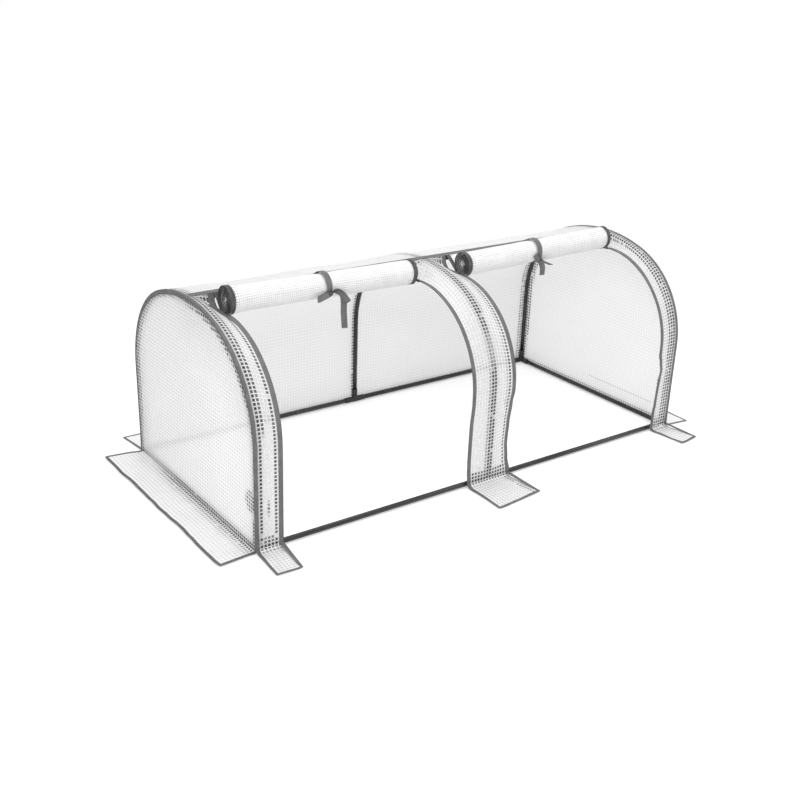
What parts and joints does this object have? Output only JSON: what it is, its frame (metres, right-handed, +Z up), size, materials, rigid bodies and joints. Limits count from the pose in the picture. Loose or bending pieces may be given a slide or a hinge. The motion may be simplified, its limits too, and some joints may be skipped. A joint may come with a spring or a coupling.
{
  "type": "plastic greenhouse",
  "caption": "Low tunnel greenhouse: a steel hoop frame under a clear reinforced film cover, with front doors rolled up to the ridge and tied with ribbon bows.",
  "frame": {"origin": "centre of the greenhouse's footprint, on the ground", "axes": "+X along the tunnel, the front with its rolled doors faces -Y, +Z up"},
  "size_m": [2.2806, 1.2806, 0.8061],
  "materials": {
    "tube": "black satin powder coat",
    "socket": "black moulded plastic",
    "film": "clear film with a white woven grid",
    "tape": "grey woven binding tape",
    "zip": "grey zip tape with moulded teeth",
    "slider": "dull grey metal"
  },
  "bodies": {
    "frame_and_cover": {"hoop_left_front_leg": "tube", "hoop_left_rear_leg": "tube", "hoop_left_front_arch": "tube", "hoop_left_rear_arch": "tube", "hoop_middle_front_leg": "tube", "hoop_middle_rear_leg": "tube", "hoop_middle_front_arch": "tube", "hoop_middle_rear_arch": "tube", "hoop_right_front_leg": "tube", "hoop_right_rear_leg": "tube", "hoop_right_front_arch": "tube", "hoop_right_rear_arch": "tube", "front_rail_left": "tube", "front_rail_right": "tube", "rear_rail_left": "tube", "rear_rail_right": "tube", "end_rail_left": "tube", "end_rail_right": "tube", "ridge_tube_left": "tube", "ridge_tube_right": "tube", "corner_fitting_front_left": "socket", "corner_fitting_front_right": "socket", "corner_fitting_rear_left": "socket", "corner_fitting_rear_right": "socket", "tee_fitting_front": "socket", "tee_fitting_rear": "socket", "ridge_fitting_left": "socket", "ridge_fitting_middle": "socket", "ridge_fitting_right": "socket", "end_panel_left": "film", "end_panel_right": "film", "rear_wall": "film", "front_strip_left": "film", "front_strip_middle": "film", "front_strip_right": "film", "end_binding_left": "tape", "end_binding_right": "tape", "ridge_tape": "tape", "zip_tape_left_bay_left": "zip", "zip_tape_left_bay_right": "zip", "zip_tape_right_bay_left": "zip", "zip_tape_right_bay_right": "zip"},
    "left_door": {"rolled_door_left": "film", "door_tie_left": "tape"},
    "right_door": {"rolled_door_right": "film", "door_tie_right": "tape"},
    "left_bay_left_slider": {"zip_slider_left_bay_left": "slider"},
    "left_bay_left_pull": {"zip_pull_left_bay_left": "slider"},
    "left_bay_right_slider": {"zip_slider_left_bay_right": "slider"},
    "left_bay_right_pull": {"zip_pull_left_bay_right": "slider"},
    "right_bay_left_slider": {"zip_slider_right_bay_left": "slider"},
    "right_bay_left_pull": {"zip_pull_right_bay_left": "slider"},
    "right_bay_right_slider": {"zip_slider_right_bay_right": "slider"},
    "right_bay_right_pull": {"zip_pull_right_bay_right": "slider"},
    "end_skirt_left_sheet": {"end_skirt_left": "film"},
    "end_skirt_right_sheet": {"end_skirt_right": "film"},
    "rear_skirt_sheet": {"rear_skirt": "film"},
    "foot_flap_left_sheet": {"foot_flap_left": "film"},
    "foot_flap_middle_sheet": {"foot_flap_middle": "film"},
    "foot_flap_right_sheet": {"foot_flap_right": "film"}
  },
  "joints": [
    {"name": "left_door_lift", "type": "hinge", "parent": "frame_and_cover", "child": "left_door", "pos_m": [-0.5105, -0.01216, 0.76578], "axis": [-1, 0, 0], "range_deg": [0, 145]},
    {"name": "right_door_lift", "type": "hinge", "parent": "frame_and_cover", "child": "right_door", "pos_m": [0.4895, -0.01216, 0.76578], "axis": [-1, 0, 0], "range_deg": [0, 145]},
    {"name": "left_bay_left_slider_run", "type": "hinge", "parent": "frame_and_cover", "child": "left_bay_left_slider", "pos_m": [-0.902, -0.123, 0.37], "axis": [1, 0, 0], "range_deg": [0, 92]},
    {"name": "left_bay_left_pull_swing", "type": "hinge", "parent": "left_bay_left_slider", "child": "left_bay_left_pull", "pos_m": [-0.9001, -0.1107, 0.72218], "axis": [-1, 0, 0], "range_deg": [0, 150]},
    {"name": "left_bay_right_slider_run", "type": "hinge", "parent": "frame_and_cover", "child": "left_bay_right_slider", "pos_m": [-0.098, -0.123, 0.37], "axis": [1, 0, 0], "range_deg": [0, 92]},
    {"name": "left_bay_right_pull_swing", "type": "hinge", "parent": "left_bay_right_slider", "child": "left_bay_right_pull", "pos_m": [-0.0999, -0.1107, 0.72218], "axis": [-1, 0, 0], "range_deg": [0, 150]},
    {"name": "right_bay_left_slider_run", "type": "hinge", "parent": "frame_and_cover", "child": "right_bay_left_slider", "pos_m": [0.098, -0.123, 0.37], "axis": [1, 0, 0], "range_deg": [0, 92]},
    {"name": "right_bay_left_pull_swing", "type": "hinge", "parent": "right_bay_left_slider", "child": "right_bay_left_pull", "pos_m": [0.0999, -0.1107, 0.72218], "axis": [-1, 0, 0], "range_deg": [0, 150]},
    {"name": "right_bay_right_slider_run", "type": "hinge", "parent": "frame_and_cover", "child": "right_bay_right_slider", "pos_m": [0.902, -0.123, 0.37], "axis": [1, 0, 0], "range_deg": [0, 92]},
    {"name": "right_bay_right_pull_swing", "type": "hinge", "parent": "right_bay_right_slider", "child": "right_bay_right_pull", "pos_m": [0.9001, -0.1107, 0.72218], "axis": [-1, 0, 0], "range_deg": [0, 150]},
    {"name": "end_skirt_left_fold", "type": "hinge", "parent": "frame_and_cover", "child": "end_skirt_left_sheet", "pos_m": [-1.00015, 0, 0.00195], "axis": [0, 1, 0], "range_deg": [0, 80]},
    {"name": "end_skirt_right_fold", "type": "hinge", "parent": "frame_and_cover", "child": "end_skirt_right_sheet", "pos_m": [1.00015, 0, 0.00195], "axis": [0, -1, 0], "range_deg": [0, 80]},
    {"name": "rear_skirt_fold", "type": "hinge", "parent": "frame_and_cover", "child": "rear_skirt_sheet", "pos_m": [0, 0.47015, 0.00195], "axis": [1, 0, 0], "range_deg": [0, 80]},
    {"name": "foot_flap_left_fold", "type": "hinge", "parent": "frame_and_cover", "child": "foot_flap_left_sheet", "pos_m": [-0.951, -0.47015, 0.00195], "axis": [-1, 0, 0], "range_deg": [0, 80]},
    {"name": "foot_flap_middle_fold", "type": "hinge", "parent": "frame_and_cover", "child": "foot_flap_middle_sheet", "pos_m": [0, -0.47015, 0.00195], "axis": [-1, 0, 0], "range_deg": [0, 80]},
    {"name": "foot_flap_right_fold", "type": "hinge", "parent": "frame_and_cover", "child": "foot_flap_right_sheet", "pos_m": [0.951, -0.47015, 0.00195], "axis": [-1, 0, 0], "range_deg": [0, 80]}
  ]
}
